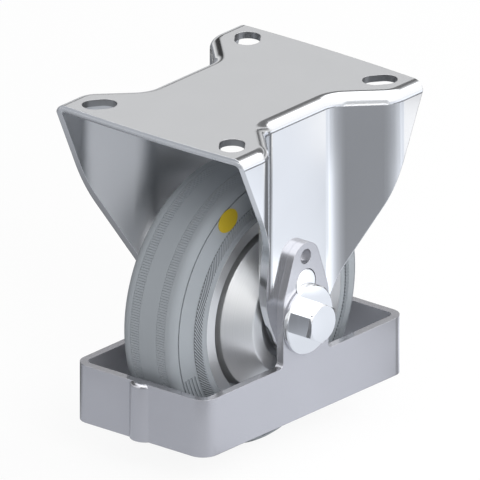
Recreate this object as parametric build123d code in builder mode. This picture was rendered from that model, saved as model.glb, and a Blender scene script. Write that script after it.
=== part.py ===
"""Fixed caster: a pressed sheet-steel bracket, a ball-bearing wheel and a strip-steel foot guard.

Millimetres. The origin is the centre of the top face of the plate, which is bolted up
against whatever the caster carries. X is the rolling direction, Y runs along the axle
and Z points up, so the wheel hangs below the origin. The side towards -Y is the near
side, where the bolt head is.
"""
import os
from math import atan2, cos, degrees, pi, radians, sin, tan

from build123d import *

# Bracket: one pressed sheet that makes the plate and both legs
SHEET = 2.5
PLATE_LENGTH = 100.0
PLATE_END_BULGE = 1.4
PLATE_WIDTH = 85.0
FORK_GAP = 49.0
FLARE_START = 18.5
FLARE_ANGLE = 45.0
WAIST_CORNER_RADIUS = 10.0
WING_CORNER_RADIUS = 10.0
BEND_INNER_RADIUS = 1.6
AXLE_DROP = 77.0
LEG_EDGE_START = 3.0
LEG_END_RADIUS = 13.8

# Four slots in the plate, each pointing at the centre of the plate
SLOT_SPACING_X = 80.0
SLOT_SPACING_Y = 60.0
SLOT_WIDTH = 9.0
SLOT_LENGTH = 12.4

# Stiffening dents pressed into the bend at the four flares
DENT_LENGTH = 14.0
DENT_END_RUN = 1.65
DENT_DEPTH = 0.45
DENT_TOP = 1.4
DENT_BOTTOM = 4.1
DENT_OFFSET = 0.47

# Foot guard: a strip bent to a ring and welded at one end, with a lug up each leg
GUARD_STRIP = 3.0
GUARD_HALF_LENGTH = 54.5
GUARD_HEIGHT = 21.4
GUARD_FLOOR_GAP = 13.7
GUARD_CORNER_RADIUS = 6.0
GUARD_WELD_WIDTH = 10.0
GUARD_WELD_RISE = 2.0
GUARD_WELD_ROUND = 1.6
LUG_HALF_WIDTH = 12.2
LUG_SHOULDER_RISE = 8.7
LUG_SHOULDER_RADIUS = 18.0
LUG_TOP_RADIUS = 7.3
LUG_TOP_RISE = 21.0
LUG_HOLE_RISE = 23.2
LUG_HOLE = 5.5
LUG_ROOT_FILLET = 2.0

# Locating studs that stop the guard from turning about the axle
STUD_DIAMETER = 10.5
STUD_RISE = 13.1
STUD_CHAMFER = 0.3
STUD_HOLE_CLEARANCE = 0.15

# Axle bolt, nut and washers
BOLT_DIAMETER = 8.0
BOLT_HOLE = 8.4
BOLT_ACROSS_FLATS = 13.0
BOLT_HEAD_HEIGHT = 6.0
BOLT_TAIL = 2.0
BOLT_END_CHAMFER = 1.0
HEX_CHAMFER_ANGLE = 30.0
WASHER_DIAMETER = 25.0
WASHER_THICKNESS = 2.0
WASHER_EDGE = 0.4
NUT_HEIGHT = 8.0
NUT_COLLAR_HEIGHT = 1.9
NUT_COLLAR_DIAMETER = 11.6
NUT_INSERT_HEIGHT = 1.5
NUT_INSERT_DIAMETER = 10.2
THREAD_CLEARANCE = 0.05

# Wheel: rubber tyre on an aluminium centre
WHEEL_RADIUS = 50.0
TREAD_HALF_WIDTH = 8.8
SHOULDER_RADIUS = 3.5
TREAD_BAND_INNER = 3.85
TREAD_BAND_WIDTH = 3.9
TREAD_BAND_DEPTH = 0.6
SIDE_LINE_SIZE = 0.5
TYRE_LIP_HEIGHT = 2.0
RIM_HALF_WIDTH = 15.4
RIM_RADIUS = 36.2
RIM_WALL = 4.8
RIM_EDGE_CHAMFER = 0.5
RIM_KEY_HALF_WIDTH = 7.0
RIM_KEY_HEIGHT = 1.5
HUB_GROOVE_WIDTH = 2.6
HUB_GROOVE_DEPTH = 8.4
HUB_GROOVE_DRAFT = 0.4
HUB_END_RADIUS = 21.0
HUB_CLEARANCE = 1.0
HUB_EDGE_ROUND = 0.8
HUB_ROOT_ROUND = 0.5

# Yellow label on the near side of the tyre
LABEL_LENGTH = 10.0
LABEL_HEIGHT = 6.6
LABEL_THICKNESS = 0.15
LABEL_OFFSET = 0.7
LABEL_ANGLE = 119.5

# Deep-groove ball bearings
BEARING_BORE = 12.0
BEARING_OUTSIDE = 32.0
BEARING_WIDTH = 10.0
BEARING_INSET = 1.0
BEARING_SHOULDER = 2.0
BALL_DIAMETER = 5.95
BALL_COUNT = 7
BALL_CLEARANCE = 0.03
RACE_GROOVE_RADIUS = 3.1
RACE_DEPTH = 0.9
RING_EDGE = 0.4
CAGE_WALL = 1.8
CAGE_HALF_WIDTH = 3.7
CAGE_POCKET_CLEARANCE = 0.17
SEAL_THICKNESS = 0.8
SEAL_INSET = 0.2
SEAL_LAND = 0.8
SEAL_STEP = 0.2
SEAL_CLEARANCE = 0.07

# Tubes and spacers on the axle
TUBE_WALL = 1.75
TUBE_FIT = 0.02
SPACER_WALL = 2.5

# Sizes worked out from the ones above
BEND_OUTER_RADIUS = BEND_INNER_RADIUS + SHEET
LEG_OUTER = FORK_GAP / 2 + SHEET
LUG_OUTER = LEG_OUTER + GUARD_STRIP
WASHER_OUTER = LUG_OUTER + WASHER_THICKNESS
GUARD_BOTTOM = -AXLE_DROP - WHEEL_RADIUS + GUARD_FLOOR_GAP
GUARD_TOP = GUARD_BOTTOM + GUARD_HEIGHT
HUB_END = FORK_GAP / 2 - HUB_CLEARANCE
BEARING_OUTER_FACE = HUB_END - BEARING_INSET
BEARING_INNER_FACE = BEARING_OUTER_FACE - BEARING_WIDTH
BEARING_MIDDLE = BEARING_OUTER_FACE - BEARING_WIDTH / 2
PITCH_RADIUS = (BEARING_BORE + BEARING_OUTSIDE) / 4
OUTER_RACE = PITCH_RADIUS + BALL_DIAMETER / 2 + BALL_CLEARANCE
INNER_RACE = PITCH_RADIUS - BALL_DIAMETER / 2 - BALL_CLEARANCE
OUTER_SHOULDER = OUTER_RACE - RACE_DEPTH
INNER_SHOULDER = INNER_RACE + RACE_DEPTH
TUBE_RADIUS = BEARING_BORE / 2 - TUBE_FIT
RIM_INNER = RIM_RADIUS - RIM_WALL
TYRE_LIP_RADIUS = RIM_RADIUS + TYRE_LIP_HEIGHT
LABEL_RADIUS = (TYRE_LIP_RADIUS + WHEEL_RADIUS) / 2 + LABEL_OFFSET
HUB_ROOT_RADIUS = RIM_INNER - HUB_GROOVE_WIDTH
NEAR = -1
FAR = 1

# The axle, and a profile plane that holds it: local x runs along Y and local y outwards
axle = Axis((0, 0, -AXLE_DROP), (0, 1, 0))
axle_profile = Plane(origin=(0, 0, -AXLE_DROP), x_dir=(0, 1, 0), z_dir=(1, 0, 0))


def side_plane(y):
    """The upright plane at this Y, seen from the near side: local x is X and local y is Z."""
    return Plane.XZ.offset(-y)


def flare_x(half_width, inset):
    """Where the flare, moved in by inset, meets a face at this half width."""
    lean = tan(radians(FLARE_ANGLE))
    shift = inset / cos(radians(FLARE_ANGLE))
    return FLARE_START + (half_width - LEG_OUTER + shift) / lean


def plan_corners(inset, half_length):
    """One side of the bracket in plan, from +X to -X, moved in from its outside by inset."""
    waist = LEG_OUTER - inset
    wing = PLATE_WIDTH / 2 - inset
    half = [(half_length, wing), (flare_x(wing, inset), wing), (flare_x(waist, inset), waist)]
    return half + [(-x, y) for x, y in reversed(half)]


def round_plan(plan, inset):
    """Rounds the corners of the flares so that the sheet keeps its thickness round them."""
    wing = PLATE_WIDTH / 2 - inset
    waist = LEG_OUTER - inset
    for half_width, radius in ((wing, WING_CORNER_RADIUS - inset), (waist, WAIST_CORNER_RADIUS + inset)):
        spot = flare_x(half_width, inset)
        corners = plan.vertices().filter_by(
            lambda v: abs(abs(v.X) - spot) < 0.01 and abs(abs(v.Y) - half_width) < 0.01
        )
        fillet(corners, radius=radius)


def flare_plane(x_side, y_side):
    """A plane on the outside of one flare: local x runs along it, local y is up."""
    middle = (flare_x(PLATE_WIDTH / 2, 0) + FLARE_START) / 2 + DENT_OFFSET
    width = (PLATE_WIDTH / 2 + LEG_OUTER) / 2 + DENT_OFFSET
    outward = Vector(-x_side * sin(radians(FLARE_ANGLE)), y_side * cos(radians(FLARE_ANGLE)), 0)
    along = Vector(0, 0, 1).cross(outward)
    return Plane(origin=(x_side * middle, y_side * width, 0), x_dir=along, z_dir=outward)


def dent_solid(x_side, y_side, shift):
    """The hollow of one dent, or shifted by one sheet, its raised back."""
    with BuildPart() as dent:
        for rise, run in ((DENT_DEPTH, 2 * DENT_END_RUN), (-DENT_DEPTH, 0)):
            with BuildSketch(flare_plane(x_side, y_side).offset(shift + rise)):
                with Locations((0, -(DENT_TOP + DENT_BOTTOM) / 2)):
                    Rectangle(DENT_LENGTH + 2 * run, DENT_BOTTOM - DENT_TOP)
        loft()
    return dent.part


# The bracket: the outside, hollowed to one sheet, then cut to the shape of the legs
with BuildPart() as bracket:
    with BuildSketch() as outside:
        with BuildLine():
            far_side = plan_corners(0, PLATE_LENGTH / 2 - PLATE_END_BULGE)
            Polyline(*far_side)
            Polyline(*[(x, -y) for x, y in far_side])
            for end in (-1, 1):
                corner = (end * far_side[0][0], far_side[0][1])
                ThreePointArc(corner, (end * PLATE_LENGTH / 2, 0), (corner[0], -corner[1]))
        make_face()
        round_plan(outside, 0)
    extrude(amount=-AXLE_DROP - LEG_END_RADIUS)
    bends = bracket.edges().group_by(Axis.Z)[-1]
    ends = bends.filter_by(lambda e: abs(e.center().X) > PLATE_LENGTH / 2 - PLATE_END_BULGE - 0.1)
    fillet([e for e in bends if e not in ends], radius=BEND_OUTER_RADIUS)

with BuildPart() as hollow:
    with BuildSketch(Plane.XY.offset(-SHEET)) as inside:
        with BuildLine():
            far_side = plan_corners(SHEET, PLATE_LENGTH)
            Polyline(*far_side, *[(x, -y) for x, y in reversed(far_side)], close=True)
        make_face()
        round_plan(inside, SHEET)
    extrude(amount=-AXLE_DROP - LEG_END_RADIUS)
    bends = hollow.edges().group_by(Axis.Z)[-1]
    fillet([e for e in bends if abs(e.center().X) < PLATE_LENGTH - 0.1], radius=BEND_INNER_RADIUS)

with BuildSketch(side_plane(0)) as leg_shape:
    with BuildLine():
        leg_root = PLATE_LENGTH / 2 - PLATE_END_BULGE
        Line((-leg_root, -LEG_EDGE_START), (leg_root, -LEG_EDGE_START))
        CenterArc((0, -AXLE_DROP), LEG_END_RADIUS, 0, 360)
    make_hull()

with bracket:
    add(hollow.part, mode=Mode.SUBTRACT)
    with BuildSketch(side_plane(0)):
        with Locations((0, -LEG_EDGE_START)):
            Rectangle(2 * PLATE_LENGTH, 2 * AXLE_DROP, align=(Align.CENTER, Align.MAX))
        add(leg_shape.sketch, mode=Mode.SUBTRACT)
    extrude(amount=PLATE_WIDTH, both=True, mode=Mode.SUBTRACT)
    for x_side in (-1, 1):
        for y_side in (NEAR, FAR):
            add(dent_solid(x_side, y_side, -SHEET))
            add(dent_solid(x_side, y_side, 0), mode=Mode.SUBTRACT)
    with BuildSketch():
        for x_side in (-1, 1):
            for y_side in (NEAR, FAR):
                x, y = x_side * SLOT_SPACING_X / 2, y_side * SLOT_SPACING_Y / 2
                with Locations((x, y)):
                    SlotOverall(SLOT_LENGTH, SLOT_WIDTH, rotation=degrees(atan2(y, x)))
    extrude(amount=-SHEET, mode=Mode.SUBTRACT)
    with BuildSketch(side_plane(0)):
        with Locations((0, -AXLE_DROP)):
            Circle(BOLT_HOLE / 2)
        with Locations((0, -AXLE_DROP + STUD_RISE)):
            Circle(STUD_DIAMETER / 2)
    extrude(amount=PLATE_WIDTH, both=True, mode=Mode.SUBTRACT)

# The foot guard: ring, the weld that closes it, and the two lugs
with BuildPart() as foot_guard:
    with BuildSketch(Plane.XY.offset(GUARD_BOTTOM)):
        RectangleRounded(2 * GUARD_HALF_LENGTH, 2 * LUG_OUTER, GUARD_CORNER_RADIUS)
        RectangleRounded(
            2 * (GUARD_HALF_LENGTH - GUARD_STRIP),
            2 * LEG_OUTER,
            GUARD_CORNER_RADIUS - GUARD_STRIP,
            mode=Mode.SUBTRACT,
        )
    extrude(amount=GUARD_HEIGHT)
    for side in (NEAR, FAR):
        with BuildSketch(side_plane(side * LEG_OUTER)) as lug:
            with BuildLine():
                CenterArc((0, -AXLE_DROP + LUG_TOP_RISE), LUG_TOP_RADIUS, 0, 360)
                for level in (-AXLE_DROP + LUG_SHOULDER_RISE, GUARD_TOP - LUG_ROOT_FILLET):
                    Line((-LUG_HALF_WIDTH, level), (LUG_HALF_WIDTH, level))
            make_hull()
            shoulders = lug.vertices().filter_by(
                lambda v: abs(v.Y + AXLE_DROP - LUG_SHOULDER_RISE) < 0.01
            )
            fillet(shoulders, radius=LUG_SHOULDER_RADIUS)
        extrude(amount=-side * GUARD_STRIP)
    roots = foot_guard.edges().filter_by(Axis.Y).filter_by(
        lambda e: abs(abs(e.center().X) - LUG_HALF_WIDTH) < 0.01 and abs(e.center().Z - GUARD_TOP) < 0.01
    )
    fillet(roots, radius=LUG_ROOT_FILLET)
    with BuildSketch(Plane.XY.offset(GUARD_BOTTOM)):
        with BuildLine():
            seam = -GUARD_HALF_LENGTH + GUARD_WELD_RISE / 2
            tips = [(seam, -GUARD_WELD_WIDTH / 2), (seam, GUARD_WELD_WIDTH / 2)]
            ThreePointArc(tips[0], (-GUARD_HALF_LENGTH - GUARD_WELD_RISE, 0), tips[1])
            Line(*tips)
        make_face()
    extrude(amount=GUARD_HEIGHT)
    weld_rim = foot_guard.edges().filter_by(
        lambda e: e.center().X < -GUARD_HALF_LENGTH - 0.3 and abs(e.center().Z - GUARD_TOP) < 0.01
    )
    fillet(weld_rim, radius=GUARD_WELD_ROUND)
    with BuildSketch(side_plane(0)):
        with Locations((0, -AXLE_DROP)):
            Circle(BOLT_HOLE / 2)
        with Locations((0, -AXLE_DROP + STUD_RISE)):
            Circle(STUD_DIAMETER / 2 + STUD_HOLE_CLEARANCE)
        with Locations((0, -AXLE_DROP + LUG_HOLE_RISE)):
            Circle(LUG_HOLE / 2)
    extrude(amount=PLATE_WIDTH, both=True, mode=Mode.SUBTRACT)


def locating_stud(side):
    """A stud through the leg and the lug, flush at both ends."""
    with BuildPart() as stud:
        with BuildSketch(side_plane(side * FORK_GAP / 2)):
            with Locations((0, -AXLE_DROP + STUD_RISE)):
                Circle(STUD_DIAMETER / 2)
        extrude(amount=-side * (LUG_OUTER - FORK_GAP / 2))
        rims = stud.edges().filter_by(GeomType.CIRCLE).filter_by(
            lambda e: abs(e.center().Y - side * LUG_OUTER) < 0.01
        )
        chamfer(rims, length=STUD_CHAMFER)
    return stud.part


def ring(inner, outer, start, stop, edge=0.0):
    """A turned ring about the axle between two places along Y, its outer edges broken."""
    with BuildPart() as turned:
        with BuildSketch(axle_profile) as section:
            with Locations(((start + stop) / 2, (inner + outer) / 2)):
                Rectangle(abs(stop - start), outer - inner)
            if edge:
                chamfer(section.vertices().group_by(Axis.Y)[-1], length=edge)
        revolve(axis=axle)
    return turned.part


def section_corner(section, y, radius):
    """The corner of a turned section at this place along Y and this radius from the axle."""
    corners = section.vertices().filter_by(lambda v: abs(v.X - y) < 0.01 and abs(v.Y - radius) < 0.01)
    assert len(corners) == 1, f"{len(corners)} corners at {y}, {radius}"
    return corners


def hexagon(start, height, chamfered_end):
    """A hexagon prism about the axle with flats towards the front and back, one end chamfered."""
    corner = BOLT_ACROSS_FLATS / 2 / cos(pi / 6)
    outward = 1 if chamfered_end > start else -1
    lead = (corner - BOLT_ACROSS_FLATS / 2) * tan(radians(HEX_CHAMFER_ANGLE))
    with BuildPart() as hexagonal:
        with BuildSketch(side_plane(start)):
            with Locations((0, -AXLE_DROP)):
                RegularPolygon(BOLT_ACROSS_FLATS / 2, 6, major_radius=False, rotation=90)
        extrude(amount=-outward * height)
        with BuildSketch(axle_profile):
            with BuildLine():
                Polyline(
                    (start, 0),
                    (start, corner),
                    (chamfered_end - outward * lead, corner),
                    (chamfered_end, BOLT_ACROSS_FLATS / 2),
                    (chamfered_end, 0),
                    close=True,
                )
            make_face()
        revolve(axis=axle, mode=Mode.INTERSECT)
    return hexagonal.part


# The axle bolt: head on the near side, shank through both legs, end past the nut
bolt_end = WASHER_OUTER + NUT_HEIGHT + BOLT_TAIL
with BuildPart() as axle_bolt:
    add(hexagon(-WASHER_OUTER, BOLT_HEAD_HEIGHT, -WASHER_OUTER - BOLT_HEAD_HEIGHT))
    with BuildSketch(axle_profile):
        with BuildLine():
            Polyline(
                (-WASHER_OUTER - BOLT_HEAD_HEIGHT / 2, 0),
                (-WASHER_OUTER - BOLT_HEAD_HEIGHT / 2, BOLT_DIAMETER / 2),
                (bolt_end - BOLT_END_CHAMFER, BOLT_DIAMETER / 2),
                (bolt_end, BOLT_DIAMETER / 2 - BOLT_END_CHAMFER),
                (bolt_end, 0),
                close=True,
            )
        make_face()
    revolve(axis=axle)

# The lock nut: hexagon, round collar and the nylon ring inside the collar
nut_hex_end = WASHER_OUTER + NUT_HEIGHT - NUT_COLLAR_HEIGHT
nut_end = WASHER_OUTER + NUT_HEIGHT
nut_bore = BOLT_DIAMETER / 2 + THREAD_CLEARANCE
with BuildPart() as axle_nut:
    add(hexagon(WASHER_OUTER, NUT_HEIGHT - NUT_COLLAR_HEIGHT, nut_hex_end))
    with BuildSketch(axle_profile) as collar:
        with BuildLine():
            Polyline(
                (nut_hex_end - NUT_COLLAR_HEIGHT / 2, 0),
                (nut_hex_end - NUT_COLLAR_HEIGHT / 2, NUT_COLLAR_DIAMETER / 2),
                (nut_end - NUT_COLLAR_HEIGHT / 2, NUT_COLLAR_DIAMETER / 2),
                (nut_end, NUT_INSERT_DIAMETER / 2),
                (nut_end, 0),
                close=True,
            )
        make_face()
    revolve(axis=axle)
    add(ring(0, nut_bore, WASHER_OUTER, nut_end), mode=Mode.SUBTRACT)
    add(ring(0, NUT_INSERT_DIAMETER / 2, nut_end - NUT_INSERT_HEIGHT, nut_end), mode=Mode.SUBTRACT)

# The tyre: half its section, turned about the axle and mirrored
shoulder_centre = (TREAD_HALF_WIDTH, WHEEL_RADIUS - SHOULDER_RADIUS)
to_lip = (RIM_HALF_WIDTH - shoulder_centre[0], TYRE_LIP_RADIUS - shoulder_centre[1])
lip_distance = (to_lip[0] ** 2 + to_lip[1] ** 2) ** 0.5
touch_angle = atan2(to_lip[1], to_lip[0]) + atan2((lip_distance**2 - SHOULDER_RADIUS**2) ** 0.5, SHOULDER_RADIUS)
side_top = (
    shoulder_centre[0] + SHOULDER_RADIUS * cos(touch_angle),
    shoulder_centre[1] + SHOULDER_RADIUS * sin(touch_angle),
)
shoulder_middle = (
    shoulder_centre[0] + SHOULDER_RADIUS * cos((touch_angle + pi / 2) / 2),
    shoulder_centre[1] + SHOULDER_RADIUS * sin((touch_angle + pi / 2) / 2),
)
band_outer = TREAD_BAND_INNER + TREAD_BAND_WIDTH
with BuildPart() as tyre:
    with BuildSketch(axle_profile):
        with BuildLine():
            Polyline(
                (TREAD_HALF_WIDTH, WHEEL_RADIUS),
                (band_outer, WHEEL_RADIUS),
                (band_outer, WHEEL_RADIUS - TREAD_BAND_DEPTH),
                (TREAD_BAND_INNER, WHEEL_RADIUS - TREAD_BAND_DEPTH),
                (TREAD_BAND_INNER, WHEEL_RADIUS),
                (0, WHEEL_RADIUS),
                (0, RIM_RADIUS + RIM_KEY_HEIGHT),
                (RIM_KEY_HALF_WIDTH, RIM_RADIUS + RIM_KEY_HEIGHT),
                (RIM_KEY_HALF_WIDTH + RIM_KEY_HEIGHT, RIM_RADIUS),
                (RIM_HALF_WIDTH, RIM_RADIUS),
                (RIM_HALF_WIDTH, TYRE_LIP_RADIUS),
                side_top,
            )
            ThreePointArc(side_top, shoulder_middle, (TREAD_HALF_WIDTH, WHEEL_RADIUS))
        make_face()
    revolve(axis=axle)
    with BuildSketch(axle_profile):
        with Locations(Location((*side_top, 0), degrees(touch_angle))):
            Rectangle(2 * SIDE_LINE_SIZE, SIDE_LINE_SIZE)
    revolve(axis=axle, mode=Mode.SUBTRACT)
    mirror(about=Plane.XZ)

# The wheel centre: rim, groove, cone and the seats for the bearings
with BuildPart() as wheel_centre:
    with BuildSketch(axle_profile) as centre_section:
        with BuildLine():
            groove_floor = RIM_HALF_WIDTH - HUB_GROOVE_DEPTH
            Polyline(
                (0, BEARING_OUTSIDE / 2 - BEARING_SHOULDER),
                (BEARING_INNER_FACE, BEARING_OUTSIDE / 2 - BEARING_SHOULDER),
                (BEARING_INNER_FACE, BEARING_OUTSIDE / 2),
                (HUB_END, BEARING_OUTSIDE / 2),
                (HUB_END, HUB_END_RADIUS),
                (RIM_HALF_WIDTH, HUB_ROOT_RADIUS),
                (groove_floor, HUB_ROOT_RADIUS + HUB_GROOVE_DRAFT),
                (groove_floor, RIM_INNER - HUB_GROOVE_DRAFT),
                (RIM_HALF_WIDTH, RIM_INNER),
                (RIM_HALF_WIDTH, RIM_RADIUS),
                (RIM_KEY_HALF_WIDTH + RIM_KEY_HEIGHT, RIM_RADIUS),
                (RIM_KEY_HALF_WIDTH, RIM_RADIUS + RIM_KEY_HEIGHT),
                (0, RIM_RADIUS + RIM_KEY_HEIGHT),
                close=True,
            )
        make_face()
        fillet(section_corner(centre_section, HUB_END, HUB_END_RADIUS), radius=HUB_EDGE_ROUND)
        fillet(section_corner(centre_section, RIM_HALF_WIDTH, HUB_ROOT_RADIUS), radius=HUB_ROOT_ROUND)
        chamfer(section_corner(centre_section, RIM_HALF_WIDTH, RIM_INNER), length=RIM_EDGE_CHAMFER)
    revolve(axis=axle)
    mirror(about=Plane.XZ)

# The label: an oval lying on the side of the tyre
side_lean = atan2(RIM_HALF_WIDTH - side_top[0], side_top[1] - TYRE_LIP_RADIUS)
label_y = RIM_HALF_WIDTH - (LABEL_RADIUS - TYRE_LIP_RADIUS) * tan(side_lean)
label_out = Vector(cos(radians(LABEL_ANGLE)), 0, sin(radians(LABEL_ANGLE)))
label_normal = label_out * sin(side_lean) + Vector(0, NEAR, 0) * cos(side_lean)
label_plane = Plane(
    origin=Vector(0, NEAR * label_y, -AXLE_DROP) + label_out * LABEL_RADIUS,
    x_dir=label_out.cross(Vector(0, 1, 0)),
    z_dir=label_normal,
)
with BuildPart() as tyre_label:
    with BuildSketch(label_plane):
        Ellipse(LABEL_LENGTH / 2, LABEL_HEIGHT / 2)
    extrude(amount=LABEL_THICKNESS)


def race_ring(shoulder, race_centre, wall, seal_radius, side):
    """One bearing ring: its plain wall, its shoulder, the ball groove and a land for each seal."""
    half = BEARING_WIDTH / 2
    seat = half - SEAL_INSET - SEAL_THICKNESS
    inward = 1 if wall > shoulder else -1
    middle = side * BEARING_MIDDLE
    with BuildPart() as turned:
        with BuildSketch(axle_profile):
            with BuildLine():
                Polyline(
                    (middle - half, seal_radius),
                    (middle - half, wall - inward * RING_EDGE),
                    (middle - half + RING_EDGE, wall),
                    (middle + half - RING_EDGE, wall),
                    (middle + half, wall - inward * RING_EDGE),
                    (middle + half, seal_radius),
                    (middle + seat, seal_radius),
                    (middle + seat, shoulder),
                    (middle - seat, shoulder),
                    (middle - seat, seal_radius),
                    close=True,
                )
            make_face()
            with Locations((middle, race_centre)):
                Circle(RACE_GROOVE_RADIUS, mode=Mode.SUBTRACT)
        revolve(axis=axle)
    return turned.part


def ball_places(side):
    """The places of the balls round one bearing."""
    for i in range(BALL_COUNT):
        turn = 2 * pi * i / BALL_COUNT
        yield turn, Vector(
            PITCH_RADIUS * cos(turn), side * BEARING_MIDDLE, -AXLE_DROP + PITCH_RADIUS * sin(turn)
        )


def bearing_balls(side):
    """The ring of balls, each a solid of its own."""
    with BuildPart() as balls:
        with Locations(*[place for _, place in ball_places(side)]):
            Sphere(BALL_DIAMETER / 2)
    return balls.part


def bearing_cage(side):
    """A plain band with a round pocket for each ball."""
    inner = PITCH_RADIUS - CAGE_WALL / 2
    middle = side * BEARING_MIDDLE
    with BuildPart() as cage:
        add(ring(inner, inner + CAGE_WALL, middle - CAGE_HALF_WIDTH, middle + CAGE_HALF_WIDTH))
        for turn, place in ball_places(side):
            with BuildSketch(Plane(origin=place, z_dir=(cos(turn), 0, sin(turn)))):
                Circle(BALL_DIAMETER / 2 + CAGE_POCKET_CLEARANCE)
            extrude(amount=CAGE_WALL, both=True, mode=Mode.SUBTRACT)
    return cage.part


def bearing_seals(side):
    """The two seals of one bearing, held in the outer ring."""
    middle = side * BEARING_MIDDLE
    with BuildPart() as seals:
        for face in (-1, 1):
            outer = middle + face * (BEARING_WIDTH / 2 - SEAL_INSET)
            bore = INNER_SHOULDER - SEAL_STEP + SEAL_CLEARANCE
            add(ring(bore, OUTER_SHOULDER + SEAL_LAND, outer, outer - face * SEAL_THICKNESS))
    return seals.part


pieces = {
    "bracket": bracket.part,
    "foot_guard": foot_guard.part,
    "tyre": tyre.part,
    "wheel_centre": wheel_centre.part,
    "tyre_label": tyre_label.part,
    "axle_bolt": axle_bolt.part,
    "axle_nut": axle_nut.part,
    "nut_locking_ring": ring(nut_bore, NUT_INSERT_DIAMETER / 2, nut_end - NUT_INSERT_HEIGHT, nut_end),
    "axle_tube": ring(TUBE_RADIUS - TUBE_WALL, TUBE_RADIUS, -FORK_GAP / 2, FORK_GAP / 2),
    "bearing_spacer": ring(
        BEARING_BORE / 2, BEARING_BORE / 2 + SPACER_WALL, -BEARING_INNER_FACE, BEARING_INNER_FACE
    ),
}
for side, name in ((NEAR, "near"), (FAR, "far")):
    washer_from, washer_to = side * LUG_OUTER, side * WASHER_OUTER
    pieces[f"{name}_washer"] = ring(BOLT_HOLE / 2, WASHER_DIAMETER / 2, washer_from, washer_to, WASHER_EDGE)
    pieces[f"{name}_locating_stud"] = locating_stud(side)
    pieces[f"{name}_hub_spacer"] = ring(
        BEARING_BORE / 2, BEARING_BORE / 2 + SPACER_WALL, side * BEARING_OUTER_FACE, side * FORK_GAP / 2
    )
    pieces[f"{name}_bearing_outer_ring"] = race_ring(
        OUTER_SHOULDER, OUTER_RACE - RACE_GROOVE_RADIUS, BEARING_OUTSIDE / 2, OUTER_SHOULDER + SEAL_LAND, side
    )
    pieces[f"{name}_bearing_inner_ring"] = race_ring(
        INNER_SHOULDER, INNER_RACE + RACE_GROOVE_RADIUS, BEARING_BORE / 2, INNER_SHOULDER - SEAL_STEP, side
    )
    pieces[f"{name}_bearing_balls"] = bearing_balls(side)
    pieces[f"{name}_bearing_cage"] = bearing_cage(side)
    pieces[f"{name}_bearing_seals"] = bearing_seals(side)

os.makedirs("parts", exist_ok=True)
for name, piece in pieces.items():
    piece.label = name
    export_step(piece, f"parts/{name}.step")
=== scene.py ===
"""Looks of a fixed caster with a foot guard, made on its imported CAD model.

Metres. The origin is the centre of the plate's top face, X is the rolling direction,
Y runs along the axle and Z points up. The bolt head is on the near side, towards -Y.
"""
from math import atan2, cos, pi, radians, sin, tan

import bmesh
import bpy
from bpy.props import FloatProperty, FloatVectorProperty, IntProperty, PointerProperty
from mathutils import Matrix, Vector


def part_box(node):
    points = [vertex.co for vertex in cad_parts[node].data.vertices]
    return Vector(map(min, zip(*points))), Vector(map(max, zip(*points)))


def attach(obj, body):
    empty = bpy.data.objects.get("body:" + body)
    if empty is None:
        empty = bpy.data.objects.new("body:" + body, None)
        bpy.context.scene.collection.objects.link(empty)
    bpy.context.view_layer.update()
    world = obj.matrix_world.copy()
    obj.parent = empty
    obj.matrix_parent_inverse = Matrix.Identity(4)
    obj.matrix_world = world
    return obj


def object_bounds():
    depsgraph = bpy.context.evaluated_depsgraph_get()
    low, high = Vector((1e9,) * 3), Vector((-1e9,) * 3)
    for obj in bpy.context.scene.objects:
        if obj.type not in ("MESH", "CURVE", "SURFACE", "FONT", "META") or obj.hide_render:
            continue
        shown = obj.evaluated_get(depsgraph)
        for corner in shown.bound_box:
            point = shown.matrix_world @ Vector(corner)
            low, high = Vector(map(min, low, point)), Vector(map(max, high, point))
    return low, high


bl_info = {
    "name": "Fixed caster",
    "version": (1, 0, 0),
    "blender": (4, 5, 0),
    "location": "View3D > Sidebar > Caster",
    "description": "Dresses the CAD model of a fixed caster with a foot guard",
    "category": "Object",
}

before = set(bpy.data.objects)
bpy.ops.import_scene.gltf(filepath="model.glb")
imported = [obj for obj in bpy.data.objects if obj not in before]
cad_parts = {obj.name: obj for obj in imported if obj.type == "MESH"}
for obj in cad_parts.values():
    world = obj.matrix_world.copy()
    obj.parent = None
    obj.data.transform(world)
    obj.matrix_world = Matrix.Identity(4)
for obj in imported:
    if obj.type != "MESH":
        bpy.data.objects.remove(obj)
cad_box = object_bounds()
MM = 0.001
NEAR = -1
FAR = 1

# Places taken from the frame
FLOOR_Z = cad_box[0].z
AXLE_Z = (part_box("axle_bolt")[0].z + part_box("axle_bolt")[1].z) / 2
TREAD_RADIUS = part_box("tyre")[1].x
LIP_HALF_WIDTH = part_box("tyre")[1].y

# Side of the tyre, a cone from the lip by the rim to the rounding at the tread
LIP_RADIUS = 38.2 * MM
SIDE_TOP_RADIUS = 47.65 * MM
SIDE_TOP_HALF_WIDTH = 12.1 * MM
SIDE_LEAN = atan2(LIP_HALF_WIDTH - SIDE_TOP_HALF_WIDTH, SIDE_TOP_RADIUS - LIP_RADIUS)

# The two tread bands and their ribs, whose feet run into each other
BAND_INNER = 3.85 * MM
BAND_WIDTH = 3.9 * MM
BAND_DEPTH = 0.6 * MM
BAND_MARGIN = 0.05 * MM
RIB_TOP_DROP = 0.1 * MM
RIB_FOOT_PITCHES = 1.5

# The hatched band of slanted ribs on each side
HATCH_INNER = 38.7 * MM
HATCH_OUTER = 41.7 * MM
HATCH_FOOT_WIDTH = 0.44 * MM
HATCH_TOP_WIDTH = 0.34 * MM
HATCH_STEPS = 5
# Painted shade: the rubber in the gaps between the side ribs, up to this height over the side, takes
# this share of its colour
HATCH_GAP_HEIGHT = 0.15 * MM
HATCH_GAP_PAINTED_SHADE = 0.4

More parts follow.
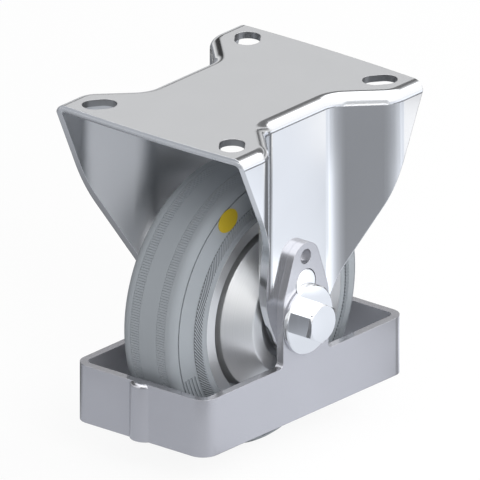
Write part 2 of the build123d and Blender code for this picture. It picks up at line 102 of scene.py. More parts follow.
# The blocks of short ridges between the hatched band and the tread
RIDGE_RADII = (42.7 * MM, 43.9 * MM, 45.1 * MM, 46.3 * MM)
RIDGE_BLOCKS = 3
RIDGE_START = radians(198)
RIDGE_STEP = radians(2)
RIDGE_STEPS = 8
RIDGE_FOOT_WIDTH = 0.7 * MM
RIDGE_TOP_WIDTH = 0.4 * MM
RIDGE_HEIGHT = 0.5 * MM

# How deep a ridge's foot is sunk in the rubber, as a share of its height
SUNK_SHARE = 0.3

# Slots and dents of the bracket
SLOT_X = 40 * MM
SLOT_Y = 30 * MM
SLOT_REACH = 7 * MM
SLOT_BOTTOM = -3.1 * MM
# Painted shade: the walls of the slots take this share of the bracket's colour
SLOT_PAINTED_SHADE = 0.45
DENT_TOP = -1 * MM
DENT_BOTTOM = -4.15 * MM

# Limits past which a face counts as inward, downward or upright
BRACKET_INWARD = -2 * MM
GUARD_INWARD = -1 * MM
DOWNWARD = -0.6
SLOT_UPRIGHT = 0.3
DENT_UPRIGHT = 0.05

# Thread on the bolt's end
SHANK_REACH = 4.1 * MM
THREAD_START = 25 * MM
THREAD_PITCH = 1.25 * MM
THREAD_DEPTH = 0.5 * MM

# Scales of noise in cycles per metre
CLOUDS = 60
GUARD_CLOUDS = 45
RUBBER_CLOUDS = 50
WAVES = 110
ZINC_GRAIN = 900
GUARD_GRAIN = 700
LABEL_GRAIN = 1500
PLASTIC_GRAIN = 2500
RUBBER_GRAIN = 2600
TURNING_MARKS = 3500

# Samples that round the edges in the shading
BEVEL_SAMPLES = 6

# The photograph's view, an orthographic camera
VIEW_AZIMUTH = radians(-140.05)
VIEW_ELEVATION = radians(21.94)
VIEW_WIDTH = 166.7 * MM
VIEW_CENTRE = Vector((0, 0, -55.4 * MM))
VIEW_SIDE_SHIFT = 0.1 * MM
VIEW_DISTANCE = 1.5
VIEW_DEPTH = 10

# Lamps
KEY_PLACE = Vector((-0.5, -0.85, 0.4))
KEY_SIZE = 0.7
FILL_PLACE = Vector((0.8, -0.5, 0.35))
FILL_SIZE = 0.8
FILL_SHARE = 0.85

# The floor, and what the camera and metal see of it and of the sky
FLOOR_HALF_WIDTH = 4
FLOOR_CELLS = 4
FLOOR_WHITE_SHARE = 0.9
GROUND_SHINE_SHARE = 0.96
GROUND_SHINE_STRENGTH = 1.25
SKY_SHINE_STRENGTH = 2.5
SHINE_TINT = (0.96, 1.0, 1.07)
SHADOW_GREY = (0.22, 0.22, 0.23)
LINE_GREY = (0.12, 0.12, 0.13)
GLINT_WHITE = (1.6, 1.65, 1.7)
CORNER_GREY = (0.02, 0.02, 0.02)
ZENITH_GREY = (0.3, 0.3, 0.31)
BORDER_LEAN = 0.138

WHITE = (1, 1, 1, 1)

# Sockets of the Mix node that mix colours
MIX_LOW = 6
MIX_HIGH = 7
MIX_RESULT = 2


class Value:
    """A socket of a node tree, on which Python's operators add Math nodes."""

    def __init__(self, graph, socket):
        self.graph = graph
        self.socket = socket

    def math(self, operation, *others):
        """This value and the others through one Math node."""
        inputs = dict(enumerate((self, *others)))
        return self.graph.node("ShaderNodeMath", {"operation": operation}, inputs)

    def flipped(self, operation, other):
        """The other value first and then this one through one Math node."""
        return self.graph.node("ShaderNodeMath", {"operation": operation}, {0: other, 1: self})

    def __add__(self, other):
        return self.math("ADD", other)

    def __sub__(self, other):
        return self.math("SUBTRACT", other)

    def __rsub__(self, other):
        return self.flipped("SUBTRACT", other)

    def __mul__(self, other):
        return self.math("MULTIPLY", other)

    def __truediv__(self, other):
        return self.math("DIVIDE", other)

    def __rtruediv__(self, other):
        return self.flipped("DIVIDE", other)

    def __gt__(self, other):
        return self.math("GREATER_THAN", other)

    def __lt__(self, other):
        return self.math("LESS_THAN", other)

    __radd__ = __add__
    __rmul__ = __mul__


class Graph:
    """A node tree under construction."""

    def __init__(self, tree):
        self.tree = tree
        tree.nodes.clear()

    def node(self, kind, settings=None, inputs=None, out=0):
        """Adds a node of this type and returns the chosen output as a Value, if it has any."""
        made = self.tree.nodes.new(kind)
        for name, value in (settings or {}).items():
            if name == "stops":
                self.set_stops(made.color_ramp, value)
            else:
                setattr(made, name, value)
        for name, value in (inputs or {}).items():
            if isinstance(value, Value):
                self.tree.links.new(value.socket, made.inputs[name])
            else:
                made.inputs[name].default_value = value
        return Value(self, made.outputs[out]) if made.outputs else made

    @staticmethod
    def set_stops(ramp, stops):
        """Gives a ramp its stops, each a place and a colour or a grey level."""
        ramp.elements[0].position, ramp.elements[1].position = stops[0][0], stops[-1][0]
        for place, _ in stops[1:-1]:
            ramp.elements.new(place)
        for element, (_, colour) in zip(ramp.elements, stops):
            grey = isinstance(colour, (int, float))
            element.color = (colour,) * 3 + (1,) if grey else (*colour[:3], 1)

    def split(self, vector):
        """The X, Y and Z of a vector."""
        parts = self.node("ShaderNodeSeparateXYZ", None, {0: vector}).socket.node
        return [Value(self, part) for part in parts.outputs]

    def coordinates(self):
        """The place on the piece as three values."""
        return self.split(self.node("ShaderNodeTexCoord", out="Object"))

    def facing(self):
        """The direction that the surface faces as three values."""
        return self.split(self.node("ShaderNodeNewGeometry", out="Normal"))

    def noise(self, scale, detail=2.0):
        """Smooth noise from 0 to 1, with a scale in cycles per metre."""
        point = self.node("ShaderNodeTexCoord", out="Object")
        inputs = {"Vector": point, "Scale": scale, "Detail": detail}
        return self.node("ShaderNodeTexNoise", None, inputs, out="Fac")

    def mix(self, factor, low, high):
        """A colour between low and high."""
        low, high = (c if isinstance(c, Value) else (*c[:3], 1) for c in (low, high))
        inputs = {"Factor": factor, MIX_LOW: low, MIX_HIGH: high}
        return self.node("ShaderNodeMix", {"data_type": "RGBA"}, inputs, out=MIX_RESULT)

    def clouded(self, scale, colour, low, high):
        """A colour in soft clouds, from low times to high times as bright."""
        return self.mix(self.noise(scale, 3), shade(colour, low), shade(colour, high))

    def mix_shader(self, factor, low, high):
        """A shader between low and high."""
        return self.node("ShaderNodeMixShader", None, {0: factor, 1: low, 2: high})

    def glow(self, kind, colour, strength=1.0):
        """An Emission or Background shader of this colour."""
        return self.node(kind, None, {"Color": colour, "Strength": strength})

    def axle_radius(self):
        """The distance from the axle."""
        x, _, z = self.coordinates()
        return distance(x, z - AXLE_Z)


def distance(one, other):
    """The length of a step that goes this far in each of two directions."""
    return (one * one + other * other).math("SQRT")


def shade(colour, level):
    """A colour made this many times as bright."""
    return [level * c for c in colour]


def uneven(value, noise, spread):
    """A value that noise moves up and down by up to this share of it."""
    return value * (1 - spread + 2 * spread * noise)


def new_material(name):
    """A material with an empty tree, and its graph."""
    material = bpy.data.materials.new(name)
    material.use_nodes = True
    return material, Graph(material.node_tree)


def finish_surface(graph, colour, roughness, height, depth, edge=0, metallic=0.0, coat=0.0):
    """Joins the principled shader, its relief, its rounded edges and the material's output."""
    relief = {"Height": height, "Distance": depth, "Strength": 1.0}
    if edge:
        relief["Normal"] = graph.node("ShaderNodeBevel", {"samples": BEVEL_SAMPLES}, {"Radius": edge})
    inputs = {
        "Base Color": colour,
        "Roughness": roughness,
        "Metallic": metallic,
        "Coat Weight": coat,
        "Normal": graph.node("ShaderNodeBump", None, relief),
    }
    shader = graph.node("ShaderNodeBsdfPrincipled", None, inputs)
    graph.node("ShaderNodeOutputMaterial", None, {"Surface": shader})


def dress(material, *nodes):
    """Gives CAD nodes this material."""
    for name in nodes:
        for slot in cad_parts[name].material_slots:
            slot.material = material


def plated_steel(name, colour, roughness, edge=0):
    """A metal with faint clouds in its tone and a very slight waviness."""
    material, graph = new_material(name)
    tone = graph.clouded(CLOUDS, colour, 0.96, 1.03)
    rough = uneven(roughness, graph.noise(ZINC_GRAIN), 0.15)
    finish_surface(graph, tone, rough, graph.noise(WAVES, 1), 0.012 * MM, edge, metallic=1.0)
    return material


def dress_plastic(name, colour, roughness, *nodes):
    """Gives CAD nodes a moulded plastic with a fine grain."""
    material, graph = new_material(name)
    grain = graph.noise(PLASTIC_GRAIN)
    tone = graph.mix(grain, shade(colour, 0.94), colour)
    finish_surface(graph, tone, uneven(roughness, grain, 0.1), grain, 0.01 * MM)
    dress(material, *nodes)


def add_object(name, data):
    """An object of this data in the scene."""
    made = bpy.data.objects.new(name, data)
    bpy.context.scene.collection.objects.link(made)
    return made


def add_mesh(name, mesh):
    """An object in the scene made of a bmesh, which is used up."""
    data = bpy.data.meshes.new(name)
    mesh.to_mesh(data)
    mesh.free()
    return add_object(name, data)


def ridge(mesh, place, path, foot, top, height, scale):
    """Adds one raised ridge along a path of (across, angle) points to a bmesh.

    place turns across, angle and height into a point. foot and top are the ridge's widths.
    scale is the radius by which an angle becomes a length.
    """
    rows = []
    for i, (across, angle) in enumerate(path):
        before, after = path[max(i - 1, 0)], path[min(i + 1, len(path) - 1)]
        along = Vector((after[0] - before[0], (after[1] - before[1]) * scale)).normalized()
        row = []
        for width, level in ((foot, -SUNK_SHARE * height), (top, height)):
            for side in (-1, 1):
                shift = side * width / 2
                spot = (across - along.y * shift, angle + along.x * shift / scale)
                row.append(mesh.verts.new(place(*spot, level)))
        rows.append(row)
    for (a, b, c, d), (e, f, g, h) in zip(rows, rows[1:]):
        for corners in ((a, e, g, c), (c, g, h, d), (d, h, f, b), (b, f, e, a)):
            mesh.faces.new(corners)
    for a, b, c, d in (rows[0], rows[-1]):
        mesh.faces.new((a, b, d, c))


def tread_place(across, angle, height):
    """A point at this height over the floor of the tread bands."""
    radius = TREAD_RADIUS - BAND_DEPTH + height
    return radius * cos(angle), across, AXLE_Z + radius * sin(angle)


def side_half_width(radius):
    """How far the tyre's side is from its middle at this radius."""
    return LIP_HALF_WIDTH - (radius - LIP_RADIUS) * tan(SIDE_LEAN)


def side_place(side):
    """How a radius, an angle and a height become a point on one side of the tyre."""

    def place(radius, angle, height):
        y = side_half_width(radius) + height * cos(SIDE_LEAN)
        radius += height * sin(SIDE_LEAN)
        return radius * cos(angle), side * y, AXLE_Z + radius * sin(angle)

    return place


def repeat_tree():
    """A geometry tree that repeats what it is given in a ring round the axle."""
    name = "Repeat round the axle"
    if name in bpy.data.node_groups:
        return bpy.data.node_groups[name]
    tree = bpy.data.node_groups.new(name, "GeometryNodeTree")
    tree.is_modifier = True
    sockets = (
        ("Geometry", "NodeSocketGeometry"),
        ("Count", "NodeSocketInt"),
        ("Axle Height", "NodeSocketFloat"),
        ("Material", "NodeSocketMaterial"),
    )
    for title, kind in sockets:
        tree.interface.new_socket(title, in_out="INPUT", socket_type=kind)
    tree.interface.new_socket("Geometry", in_out="OUTPUT", socket_type="NodeSocketGeometry")
    graph = Graph(tree)
    given = tree.nodes.new("NodeGroupInput")
    piece, count, axle, material = (Value(graph, given.outputs[title]) for title, _ in sockets)
    centre = graph.node("ShaderNodeCombineXYZ", None, {"Z": axle})
    lowered = graph.node("ShaderNodeCombineXYZ", None, {"Z": axle * -1})
    around = graph.node("GeometryNodeTransform", None, {"Geometry": piece, "Translation": lowered})
    points = graph.node(
        "GeometryNodeMeshLine",
        {"mode": "OFFSET"},
        {"Count": count, "Start Location": centre, "Offset": (0, 0, 0)},
    )
    turn = graph.node("GeometryNodeInputIndex") * (2 * pi) / count
    rotation = graph.node("ShaderNodeCombineXYZ", None, {"Y": turn})
    ring = graph.node(
        "GeometryNodeInstanceOnPoints",
        None,
        {"Points": points, "Instance": around, "Rotation": rotation},
    )
    solid = graph.node("GeometryNodeRealizeInstances", None, {"Geometry": ring})
    finished = graph.node("GeometryNodeSetMaterial", None, {"Geometry": solid, "Material": material})
    graph.node("NodeGroupOutput", None, {"Geometry": finished})
    return tree


def repeated(name, mesh, count, material):
    """Makes a piece of the wheel from one bmesh, repeated round the axle."""
    bmesh.ops.recalc_face_normals(mesh, faces=mesh.faces)
    piece = add_mesh(name, mesh)
    tree = repeat_tree()
    modifier = piece.modifiers.new("Repeat", "NODES")
    modifier.node_group = tree
    values = {"Count": count, "Axle Height": AXLE_Z, "Material": material}
    for item in tree.interface.items_tree:
        if item.in_out == "INPUT" and item.name in values:
            modifier[item.identifier] = values[item.name]
    depsgraph = bpy.context.evaluated_depsgraph_get()
    solid = bpy.data.meshes.new_from_object(piece.evaluated_get(depsgraph))
    piece.modifiers.clear()
    piece.data = solid
    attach(piece, "wheel")


def colour_setting(name, description, default):
    """A colour that a user can change."""
    return FloatVectorProperty(
        name=name, description=description, subtype="COLOR", default=default, min=0, max=1
    )


def length_setting(name, description, default):
    """A length that a user can change."""
    return FloatProperty(
        name=name, description=description, subtype="DISTANCE", default=default, min=0
    )


def share_setting(name, description, default):
    """A share from 0 to 1 that a user can change."""
    return FloatProperty(
        name=name, description=description, subtype="FACTOR", default=default, min=0, max=1
    )


class CasterMetal(bpy.types.PropertyGroup):
    """Finishes of the metal pieces."""

    bracket_colour: colour_setting("Bracket", "Colour of the bracket", (0.8, 0.81, 0.83))
    bracket_roughness: share_setting("Bracket roughness", "Roughness of the bracket", 0.12)
    inner_roughness: share_setting(
        "Inner roughness", "Roughness added on faces that look inward", 0.28
    )
    guard_colour: colour_setting("Guard", "Colour of the foot guard", (0.49, 0.492, 0.525))
    guard_metallic: share_setting(
        "Guard metal", "How far the guard's satin zinc shines as bare metal", 0.8
    )
    guard_roughness: share_setting("Guard roughness", "Roughness of the foot guard", 0.18)
    fastener_colour: colour_setting(
        "Fasteners", "Colour of the bolt, nut, washers and studs", (0.81, 0.82, 0.84)
    )
    fastener_roughness: share_setting(
        "Fastener roughness", "Roughness of the bolt, nut, washers and studs", 0.05
    )
    wheel_colour: colour_setting("Wheel centre", "Colour of the aluminium", (0.76, 0.77, 0.78))
    dent_round: length_setting("Dent", "Further rounding of the dents in the bracket", 2 * MM)
    edge_radius: length_setting("Edge", "Radius of the broken edges", 0.25 * MM)


class CasterTyre(bpy.types.PropertyGroup):
    """Rubber and the pattern moulded into it."""

    rubber_colour: colour_setting("Rubber", "Colour of the tyre", (0.242, 0.262, 0.283))
    rib_count: IntProperty(
        name="Tread ribs", description="Ribs round each tread band", default=330, min=3
    )
    rib_width: length_setting("Rib width", "Width of a tread rib", 0.7 * MM)
    hatch_count: IntProperty(
        name="Side ribs", description="Slanted ribs on each side", default=198, min=3
    )
    hatch_slant: FloatProperty(
        name="Slant", description="Lean of the side ribs", subtype="ANGLE", default=radians(58)
    )
    hatch_height: length_setting("Side rib height", "How far side ribs stand out", 0.5 * MM)


class CasterStage(bpy.types.PropertyGroup):
    """Floor and light."""

    floor_colour: colour_setting("Floor", "Colour of the floor", (0.88, 0.88, 0.88))
    key_strength: FloatProperty(
        name="Key", description="Power of the main lamp", subtype="POWER", default=9.0, min=0
    )
    sky_strength: FloatProperty(
        name="Sky", description="Strength of the soft light all round", default=0.62, min=0
    )


def inner_faces(graph):
    """1 on the faces of the bracket that look at the wheel or down."""
    _, y, _ = graph.coordinates()
    _, across, upward = graph.facing()
    return (y * across < BRACKET_INWARD).math("MAXIMUM", upward < DOWNWARD)


def slot_walls(graph):
    """1 on the punched walls of the plate's slots."""
    x, y, z = graph.coordinates()
    _, _, upward = graph.facing()
    away = distance(x.math("ABSOLUTE") - SLOT_X, y.math("ABSOLUTE") - SLOT_Y)
    return (away < SLOT_REACH) * (upward.math("ABSOLUTE") < SLOT_UPRIGHT) * (z > SLOT_BOTTOM)


def dent_faces(graph):
    """1 on the bracket's upright faces at the height of its dents, but not in the slots."""
    _, _, z = graph.coordinates()
    _, _, upward = graph.facing()
    upright = upward.math("ABSOLUTE") < DENT_UPRIGHT
    return (z > DENT_BOTTOM) * (z < DENT_TOP) * upright * (1 - slot_walls(graph))


class CASTER_OT_bracket(bpy.types.Operator):
    """Finishes the pressed bracket"""

    bl_idname = "caster.bracket"
    bl_label = "Bracket"

    def execute(self, context):
        metal = context.scene.caster_metal
        material, graph = new_material("bracket_zinc")
        punched = slot_walls(graph)
        bright = graph.clouded(CLOUDS, metal.bracket_colour, 0.97, 1.02)
        # Painted shade: the walls of the slots are darkened in the colour, and they are also rougher
        tone = graph.mix(punched, bright, shade(metal.bracket_colour, SLOT_PAINTED_SHADE))
        dull = inner_faces(graph).math("MAXIMUM", punched)
        rough = metal.bracket_roughness + dull * metal.inner_roughness
        rough = uneven(rough, graph.noise(ZINC_GRAIN), 0.1)
        edge = metal.edge_radius + dent_faces(graph) * metal.dent_round
        finish_surface(graph, tone, rough, graph.noise(WAVES, 1), 0.01 * MM, edge, metallic=1.0)
        dress(material, "bracket")
        return {"FINISHED"}


class CASTER_OT_guard(bpy.types.Operator):
    """Finishes the foot guard"""

    bl_idname = "caster.guard"
    bl_label = "Foot guard"

    def execute(self, context):
        metal = context.scene.caster_metal
        material, graph = new_material("guard_zinc")
        x, y, _ = graph.coordinates()
        along, across, _ = graph.facing()
        inner = x * along + y * across < GUARD_INWARD
        grain = graph.noise(GUARD_GRAIN, 3)
        tone = graph.clouded(GUARD_CLOUDS, metal.guard_colour, 0.95, 1.04)
        rough = uneven(metal.guard_roughness + inner * metal.inner_roughness, grain, 0.15)
        finish_surface(
            graph, tone, rough, grain, 0.004 * MM, metal.edge_radius, metallic=metal.guard_metallic
        )
        dress(material, "foot_guard")
        return {"FINISHED"}


class CASTER_OT_fasteners(bpy.types.Operator):
    """Finishes the bolt with its thread, the nut, washers, studs, tube and spacers"""

    bl_idname = "caster.fasteners"
    bl_label = "Fasteners"

    def execute(self, context):
        metal = context.scene.caster_metal
        colour, roughness, edge = metal.fastener_colour, metal.fastener_roughness, metal.edge_radius
        plain = plated_steel("fastener_zinc", colour, roughness, edge)
        dress(plain, "axle_nut", "axle_tube", "bearing_spacer")
        for side in ("near", "far"):
            dress(plain, f"{side}_washer", f"{side}_locating_stud", f"{side}_hub_spacer")

        material, graph = new_material("bolt_zinc")
        x, y, z = graph.coordinates()
        threaded = (graph.axle_radius() < SHANK_REACH) * (y > THREAD_START)
        turn = (z - AXLE_Z).math("ARCTAN2", x) / (2 * pi)
        thread = (y / THREAD_PITCH + turn).math("FRACT").math("PINGPONG", 0.5) * 2
        tone = graph.clouded(CLOUDS, colour, 0.96, 1)
        rough = uneven(roughness, graph.noise(ZINC_GRAIN), 0.15)
        finish_surface(graph, tone, rough, thread * threaded, THREAD_DEPTH, edge, metallic=1.0)
        dress(material, "axle_bolt")

        dress_plastic("nut_nylon", (0.85, 0.86, 0.84), 0.45, "nut_locking_ring")
        return {"FINISHED"}


def painted_hatch_gap_shade(graph):
    """1 on the tyre's sides between the ribs of the hatched band, where shade is painted into the
    rubber's colour.
    """
    _, y, _ = graph.coordinates()
    radius = graph.axle_radius()
    band = (radius > HATCH_INNER) * (radius < HATCH_OUTER)
    return band * (y.math("ABSOLUTE") - side_half_width(radius) < HATCH_GAP_HEIGHT)


class CASTER_OT_tyre(bpy.types.Operator):
    """Finishes the tyre and adds its tread ribs and the pattern on its sides"""

    bl_idname = "caster.tyre"
    bl_label = "Tyre"

    def execute(self, context):
        tyre = context.scene.caster_tyre
        material, graph = new_material("tyre_rubber")
        grain = graph.noise(RUBBER_GRAIN)
        tone = graph.clouded(RUBBER_CLOUDS, tyre.rubber_colour, 0.95, 1.05)
        # Painted shade: the rubber is darkened in the gaps between the side ribs
        tone = graph.mix(painted_hatch_gap_shade(graph), tone, shade(tyre.rubber_colour, HATCH_GAP_PAINTED_SHADE))
        finish_surface(graph, tone, 0.5 + 0.12 * grain, grain, 0.012 * MM)
        dress(material, "tyre")

        mesh = bmesh.new()
        foot = RIB_FOOT_PITCHES * 2 * pi * TREAD_RADIUS / tyre.rib_count
        height = BAND_DEPTH - RIB_TOP_DROP
        for side in (NEAR, FAR):
            inner = side * (BAND_INNER + BAND_MARGIN)
            outer = side * (BAND_INNER + BAND_WIDTH - BAND_MARGIN)
            path = [(inner, 0), (outer, 0)]
            ridge(mesh, tread_place, path, foot, tyre.rib_width, height, TREAD_RADIUS)
        repeated("tread_ribs", mesh, tyre.rib_count, material)

        mesh = bmesh.new()
        width = HATCH_OUTER - HATCH_INNER
        turn = -tan(tyre.hatch_slant) * width / ((HATCH_INNER + HATCH_OUTER) / 2)
        shares = [i / HATCH_STEPS for i in range(HATCH_STEPS + 1)]
        path = [(HATCH_INNER + width * share, turn * share) for share in shares]
        for side in (NEAR, FAR):
            ridge(
                mesh, side_place(side), path, HATCH_FOOT_WIDTH, HATCH_TOP_WIDTH,
                tyre.hatch_height, HATCH_INNER,
            )
        repeated("side_ribs", mesh, tyre.hatch_count, material)

        mesh = bmesh.new()
        angles = [RIDGE_START + RIDGE_STEP * i for i in range(RIDGE_STEPS + 1)]
        for side in (NEAR, FAR):
            for radius in RIDGE_RADII:
                ridge(
                    mesh, side_place(side), [(radius, angle) for angle in angles],
                    RIDGE_FOOT_WIDTH, RIDGE_TOP_WIDTH, RIDGE_HEIGHT, radius,
                )
        repeated("side_ridges", mesh, RIDGE_BLOCKS, material)
        return {"FINISHED"}


class CASTER_OT_wheel_centre(bpy.types.Operator):
    """Finishes the aluminium centre with fine turning marks"""

    bl_idname = "caster.wheel_centre"
    bl_label = "Wheel centre"

    def execute(self, context):
        metal = context.scene.caster_metal
        material, graph = new_material("wheel_aluminium")
        inputs = {"W": graph.axle_radius(), "Scale": TURNING_MARKS, "Detail": 3.0}
        marks = graph.node("ShaderNodeTexNoise", {"noise_dimensions": "1D"}, inputs, out="Fac")
        tone = graph.mix(marks, shade(metal.wheel_colour, 0.9), metal.wheel_colour)
        rough = 0.34 + 0.12 * marks
        finish_surface(graph, tone, rough, marks, 0.004 * MM, metal.edge_radius, metallic=0.9)
        dress(material, "wheel_centre")
        return {"FINISHED"}


class CASTER_OT_bearings(bpy.types.Operator):
    """Finishes the rings, balls, cages and seals of both bearings"""

    bl_idname = "caster.bearings"
    bl_label = "Bearings"

    def execute(self, context):
        steel = plated_steel("bearing_steel", (0.72, 0.73, 0.74), 0.42)
        polished = plated_steel("ball_steel", (0.62, 0.63, 0.65), 0.1)
        for side in ("near", "far"):
            dress(steel, *[f"{side}_bearing_{part}" for part in ("outer_ring", "inner_ring", "seals")])
            dress(polished, f"{side}_bearing_balls")
        dress_plastic("bearing_cage", (0.7, 0.68, 0.6), 0.5, "near_bearing_cage", "far_bearing_cage")
        return {"FINISHED"}


class CASTER_OT_label(bpy.types.Operator):
    """Finishes the plain yellow label"""

    bl_idname = "caster.label"
    bl_label = "Label"

    def execute(self, context):
        material, graph = new_material("label_yellow")
        grain = graph.noise(LABEL_GRAIN)
        tone = graph.mix(grain, (0.36, 0.262, 0.008), (0.41, 0.305, 0.015))
        finish_surface(graph, tone, 0.3 + 0.1 * grain, grain, 0.01 * MM, coat=0.3)
        dress(material, "tyre_label")
        return {"FINISHED"}


def ramp(graph, value, *stops):
    """A colour or grey level that follows a value through these stops."""
    return graph.node("ShaderNodeValToRGB", {"stops": stops}, {"Fac": value})


def rise(graph, value, start, end):
    """0 up to start, 1 from end on."""
    return ramp(graph, value, (start, 0.0), (end, 1.0))


def fall(graph, value, start, end):
    """1 up to start, 0 from end on."""
    return ramp(graph, value, (start, 1.0), (end, 0.0))


def hump(graph, value, start, full, ebb, end):
    """0 up to start, 1 from full to ebb, and 0 again from end on."""
    return ramp(graph, value, (start, 0.0), (full, 1.0), (ebb, 1.0), (end, 0.0))


def compass_turn(x, y):
    """A compass direction as a share of a turn: 0 at -X, 0.25 at -Y, 0.5 at +X, 0.75 at +Y."""
    return y.math("ARCTAN2", x) / (2 * pi) + 0.5


def compass(graph, turn, *stops):
    """A faintly blue grey that follows a compass direction, with stops in degrees from +X."""
    tinted = ((degrees / 360 + 0.5, shade(SHINE_TINT, level)) for degrees, level in stops)
    return ramp(graph, turn, *tinted)


def ground_shine(graph, place):
    """What metal sees of the floor: a painted reflection, glowing only for glossy rays, in three rings
    of greys that change with the direction.
    """
    x, y, _ = graph.split(place)
    turn = compass_turn(x, y)
    reach = distance(x, y)

    # The inner ring, with a painted shadow under the object
    close = compass(
        graph, turn, (-180, 0.5), (-142, 0.5), (-130, 0.56), (-112, 0.66), (-60, 0.74),
        (-44, 0.7), (-36, 0.6), (-32, 0.2), (-22, 0.2), (-15, 0.9), (10, 0.95), (40, 0.3),
        (60, 0.08), (110, 0.08), (134, 0.51), (165, 0.51), (180, 0.5),
    )
    under = fall(graph, reach, 0.045, 0.075) * (turn < 0.19)
    close = graph.mix(under, close, SHADOW_GREY)

    # The middle ring, which darkens outwards, with a painted white band and a painted glint
    middle = compass(
        graph, turn, (-180, 0.28), (-158, 0.28), (-150, 0.31), (-140, 0.3), (-133, 0.26),
        (-122, 0.22), (-113, 0.26), (-99, 0.36), (-85, 0.52), (-76, 0.7), (-69, 0.9),
        (-57, 1.1), (-51, 0.8), (-42.4, 0.8), (-40, 0.3), (-33, 0.12), (20, 0.1), (34, 0.5),
        (44, 0.12), (90, 0.2), (140, 0.4), (180, 0.3),
    )
    outer = rise(graph, reach, 0.275, 0.3)
    fade = compass(graph, turn, (-118, 0), (-98, 0.23), (-75, 0.3), (-64, 0.4), (-48, 0))
    middle = graph.mix(outer * fade, middle, (0, 0, 0))
    band = compass(graph, turn, (-43.4, 0), (-42, 1), (-38, 1), (-35, 0))
    middle = graph.mix(outer * band, middle, (1, 1, 1))
    glint = compass(graph, turn, (-56, 0), (-53, 0.9), (-48.4, 0.9), (-45.8, 0))
    glint = hump(graph, reach, 0.17, 0.177, 0.186, 0.2) * glint
    middle = graph.mix(glint, middle, GLINT_WHITE)

    # The far ring, with a painted dark line where it begins
    far = compass(
        graph, turn, (-180, 0.5), (-135, 0.6), (-110, 0.68), (-85, 0.85), (-66, 1.0),
        (-38, 1.0), (-31, 0.2), (20, 0.13), (34, 0.8), (44, 0.35), (60, 0.2), (140, 0.4),
        (180, 0.5),
    )
    line = hump(graph, reach, 0.362, 0.39, 0.55, 0.62) * (turn > 0.25) * (turn < 0.42)
    shine = graph.mix(rise(graph, reach, 0.13, 0.155), close, middle)
    shine = graph.mix(rise(graph, reach, 0.36, 0.48), shine, far)
    return graph.mix(line, shine, LINE_GREY)


def sky_shine(graph, direction):
    """What metal sees above the floor: greys that change with the height and the direction."""
    x, y, height = graph.split(direction)
    turn = compass_turn(x, y)

    # From +X to +Y: dark with one grey band, and nearly black next to +Y
    behind = ramp(
        graph, height, (0.0, 0.35), (0.07, 0.33), (0.12, 0.25), (0.2, 0.2), (0.26, 0.06),
        (0.325, 0.04), (0.341, 0.312), (0.415, 0.312), (0.43, 0.09), (0.62, 0.07), (0.69, 0.1),
        (0.74, 0.6), (1.0, 1.0),
    )
    corner = rise(graph, turn, 0.624, 0.636) * hump(graph, height, 0.18, 0.26, 0.6, 0.7)
    behind = graph.mix(corner, behind, CORNER_GREY)

    # Everywhere else: pale, but dark where -X turns to -Y
    front = ramp(graph, height, (0.0, 0.4), (0.05, 0.49), (0.5, 0.5), (0.65, 1.0), (1.0, 1.0))
    left = ramp(graph, height, (0.0, 0.1), (0.1, 0.07), (0.5, 0.07), (0.6, 0.9), (1.0, 1.0))
    front = graph.mix(fall(graph, turn, 0.108, 0.128), front, left)

    # The borders between the two lean, and the zenith is grey
    side = hump(graph, turn - height * BORDER_LEAN, 0.372, 0.405, 0.78, 0.84)
    shine = graph.mix(side, front, behind)
    return graph.mix(rise(graph, height, 0.986, 0.995), shine, ZENITH_GREY)


def make_camera():
    """The photograph's camera."""
    toward = Vector((
        cos(VIEW_ELEVATION) * cos(VIEW_AZIMUTH),
        cos(VIEW_ELEVATION) * sin(VIEW_AZIMUTH),
        sin(VIEW_ELEVATION),
    ))
    right = Vector((-sin(VIEW_AZIMUTH), cos(VIEW_AZIMUTH), 0))
    data = bpy.data.cameras.new("camera")
    data.type = "ORTHO"
    data.ortho_scale = VIEW_WIDTH
    data.clip_end = VIEW_DEPTH
    camera = add_object("camera", data)
    camera.rotation_euler = toward.to_track_quat("Z", "Y").to_euler()
    camera.location = VIEW_CENTRE + toward * VIEW_DISTANCE + right * VIEW_SIDE_SHIFT
    return camera


def make_floor(colour):
    """A floor that keeps shadows, nearly white to the camera and patterned to metal."""
    mesh = bmesh.new()
    bmesh.ops.create_grid(
        mesh, x_segments=FLOOR_CELLS, y_segments=FLOOR_CELLS, size=FLOOR_HALF_WIDTH,
        matrix=Matrix.Translation((0, 0, FLOOR_Z)),
    )
    floor = add_mesh("floor", mesh)
    material, graph = new_material("floor")
    place = graph.node("ShaderNodeTexCoord", out="Object")
    camera_ray = graph.node("ShaderNodeLightPath", out="Is Camera Ray")
    glossy_ray = graph.node("ShaderNodeLightPath", out="Is Glossy Ray")
    plain = graph.node("ShaderNodeBsdfDiffuse", None, {"Color": (*colour, 1)})
    pale = graph.glow("ShaderNodeEmission", WHITE)
    shine = graph.glow("ShaderNodeEmission", ground_shine(graph, place), GROUND_SHINE_STRENGTH)
    seen = graph.mix_shader(camera_ray * FLOOR_WHITE_SHARE, plain, pale)
    surface = graph.mix_shader(glossy_ray * GROUND_SHINE_SHARE, seen, shine)
    graph.node("ShaderNodeOutputMaterial", None, {"Surface": surface})
    floor.data.materials.append(material)


def make_world(strength):
    """Surroundings that give an even light, white to the camera and patterned to metal."""
    world = bpy.data.worlds.new("studio")
    world.use_nodes = True
    graph = Graph(world.node_tree)
    direction = graph.node("ShaderNodeTexCoord", out="Generated")
    camera_ray = graph.node("ShaderNodeLightPath", out="Is Camera Ray")
    glossy_ray = graph.node("ShaderNodeLightPath", out="Is Glossy Ray")
    even = graph.glow("ShaderNodeBackground", WHITE, strength)
    white = graph.glow("ShaderNodeBackground", WHITE)
    shine = graph.glow("ShaderNodeBackground", sky_shine(graph, direction), SKY_SHINE_STRENGTH)
    lit = graph.mix_shader(glossy_ray, even, shine)
    graph.node("ShaderNodeOutputWorld", None, {"Surface": graph.mix_shader(camera_ray, lit, white)})
    return world


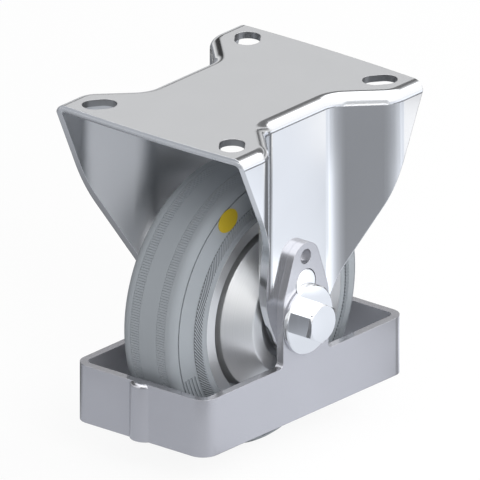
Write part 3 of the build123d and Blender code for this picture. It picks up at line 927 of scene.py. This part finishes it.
def make_lamp(name, place, size, power):
    """A square lamp that faces the object and that metal doesn't mirror."""
    data = bpy.data.lights.new(name, "AREA")
    data.shape = "SQUARE"
    data.size = size
    data.energy = power
    lamp = add_object(name, data)
    lamp.location = place
    lamp.rotation_euler = (place - VIEW_CENTRE).to_track_quat("Z", "Y").to_euler()
    lamp.visible_glossy = False


class CASTER_OT_stage(bpy.types.Operator):
    """Makes the floor, lamps, surroundings and camera"""

    bl_idname = "caster.stage"
    bl_label = "Stage"

    def execute(self, context):
        stage = context.scene.caster_stage
        context.scene.camera = make_camera()
        make_floor(stage.floor_colour)
        context.scene.world = make_world(stage.sky_strength)
        make_lamp("key", KEY_PLACE, KEY_SIZE, stage.key_strength)
        make_lamp("fill", FILL_PLACE, FILL_SIZE, stage.key_strength * FILL_SHARE)
        context.scene.view_settings.view_transform = "Standard"
        return {"FINISHED"}


class CASTER_PT_panel(bpy.types.Panel):
    """The caster's settings and steps"""

    bl_idname = "CASTER_PT_panel"
    bl_label = "Caster"
    bl_space_type = "VIEW_3D"
    bl_region_type = "UI"
    bl_category = "Caster"

    def draw(self, context):
        for group_name in GROUPS:
            group = getattr(context.scene, group_name)
            column = self.layout.column(align=True)
            for name in group.bl_rna.properties.keys():
                if name not in ("rna_type", "name"):
                    column.prop(group, name)
        for step in STEPS:
            self.layout.operator(step.bl_idname)


STEPS = (
    CASTER_OT_bracket,
    CASTER_OT_guard,
    CASTER_OT_fasteners,
    CASTER_OT_tyre,
    CASTER_OT_wheel_centre,
    CASTER_OT_bearings,
    CASTER_OT_label,
    CASTER_OT_stage,
)
GROUPS = {"caster_metal": CasterMetal, "caster_tyre": CasterTyre, "caster_stage": CasterStage}


def register():
    """Adds the settings, steps and panel to Blender."""
    for one in (*GROUPS.values(), *STEPS, CASTER_PT_panel):
        bpy.utils.register_class(one)
    for name, group in GROUPS.items():
        setattr(bpy.types.Scene, name, PointerProperty(type=group))


def unregister():
    """Takes the settings, steps and panel away again."""
    for name in GROUPS:
        delattr(bpy.types.Scene, name)
    for one in reversed((*GROUPS.values(), *STEPS, CASTER_PT_panel)):
        bpy.utils.unregister_class(one)


def main():
    """Registers the add-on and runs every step."""
    register()
    bpy.ops.caster.bracket()
    bpy.ops.caster.guard()
    bpy.ops.caster.fasteners()
    bpy.ops.caster.tyre()
    bpy.ops.caster.wheel_centre()
    bpy.ops.caster.bearings()
    bpy.ops.caster.label()
    bpy.ops.caster.stage()


if __name__ == "__main__":
    main()
